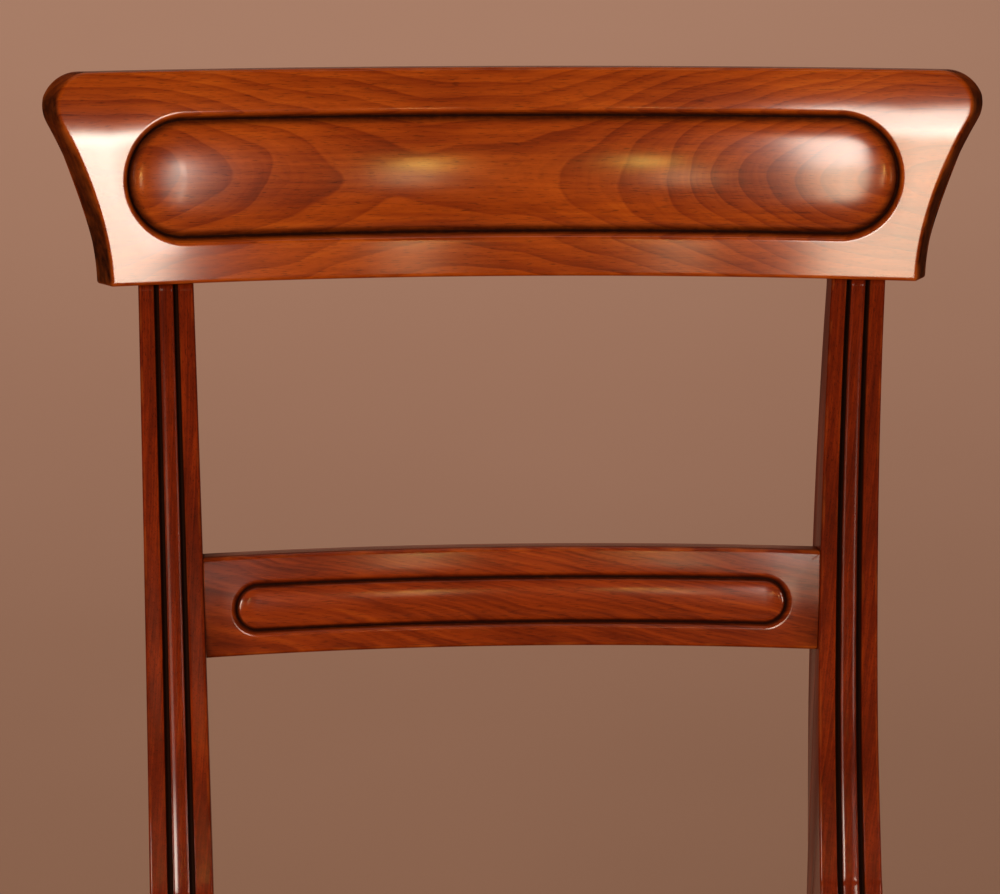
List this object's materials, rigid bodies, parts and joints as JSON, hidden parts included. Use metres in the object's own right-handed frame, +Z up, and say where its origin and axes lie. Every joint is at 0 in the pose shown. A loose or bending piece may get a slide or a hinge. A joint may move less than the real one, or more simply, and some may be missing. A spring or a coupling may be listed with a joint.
{
  "type": "dining chair",
  "caption": "Side chair with a panelled, curved bar back, reeded uprights sweeping into sabre back legs, turned front legs and a lift-out upholstered seat.",
  "frame": {"origin": "on the floor under the middle of the chair's box", "axes": "+Z up, the chair faces -Y, +X is to the right of someone who faces the chair's front"},
  "size_m": [0.4712, 0.5474, 0.8883],
  "materials": {
    "figured_mahogany": "french polished",
    "mahogany": "french polished",
    "beech": "planed, unfinished",
    "jute_webbing": "woven",
    "stuffing": "curled hair",
    "seat_leather": "waxed hide",
    "dust_cloth": "plain woven",
    "screw_steel": "dull"
  },
  "bodies": {
    "frame": {"crest_rail": "figured_mahogany", "mid_rail": "mahogany", "left_back_upright": "mahogany", "right_back_upright": "mahogany", "left_side_rail": "mahogany", "right_side_rail": "mahogany", "front_rail": "mahogany", "back_rail": "mahogany", "left_front_leg": "mahogany", "right_front_leg": "mahogany", "left_front_corner_block": "beech", "left_back_corner_block": "beech", "right_front_corner_block": "beech", "right_back_corner_block": "beech", "left_front_block_screw_1": "screw_steel", "left_front_block_screw_2": "screw_steel", "left_back_block_screw_1": "screw_steel", "left_back_block_screw_2": "screw_steel", "right_front_block_screw_1": "screw_steel", "right_front_block_screw_2": "screw_steel", "right_back_block_screw_1": "screw_steel", "right_back_block_screw_2": "screw_steel", "front_bearer": "beech", "back_bearer": "beech", "left_bearer": "beech", "right_bearer": "beech"},
    "seat": {"seat_frame_front_bar": "beech", "seat_frame_back_bar": "beech", "seat_frame_left_bar": "beech", "seat_frame_right_bar": "beech", "webbing_lengthwise_1": "jute_webbing", "webbing_lengthwise_2": "jute_webbing", "webbing_lengthwise_3": "jute_webbing", "webbing_crosswise_1": "jute_webbing", "webbing_crosswise_2": "jute_webbing", "webbing_crosswise_3": "jute_webbing", "hessian": "jute_webbing", "stuffing_pad": "stuffing", "seat_cover": "seat_leather", "dust_cover": "dust_cloth"}
  },
  "joints": [
    {"name": "seat_lift", "type": "slide", "parent": "frame", "child": "seat", "axis": [0, 0, 1], "range_m": [0, 0.08]}
  ]
}
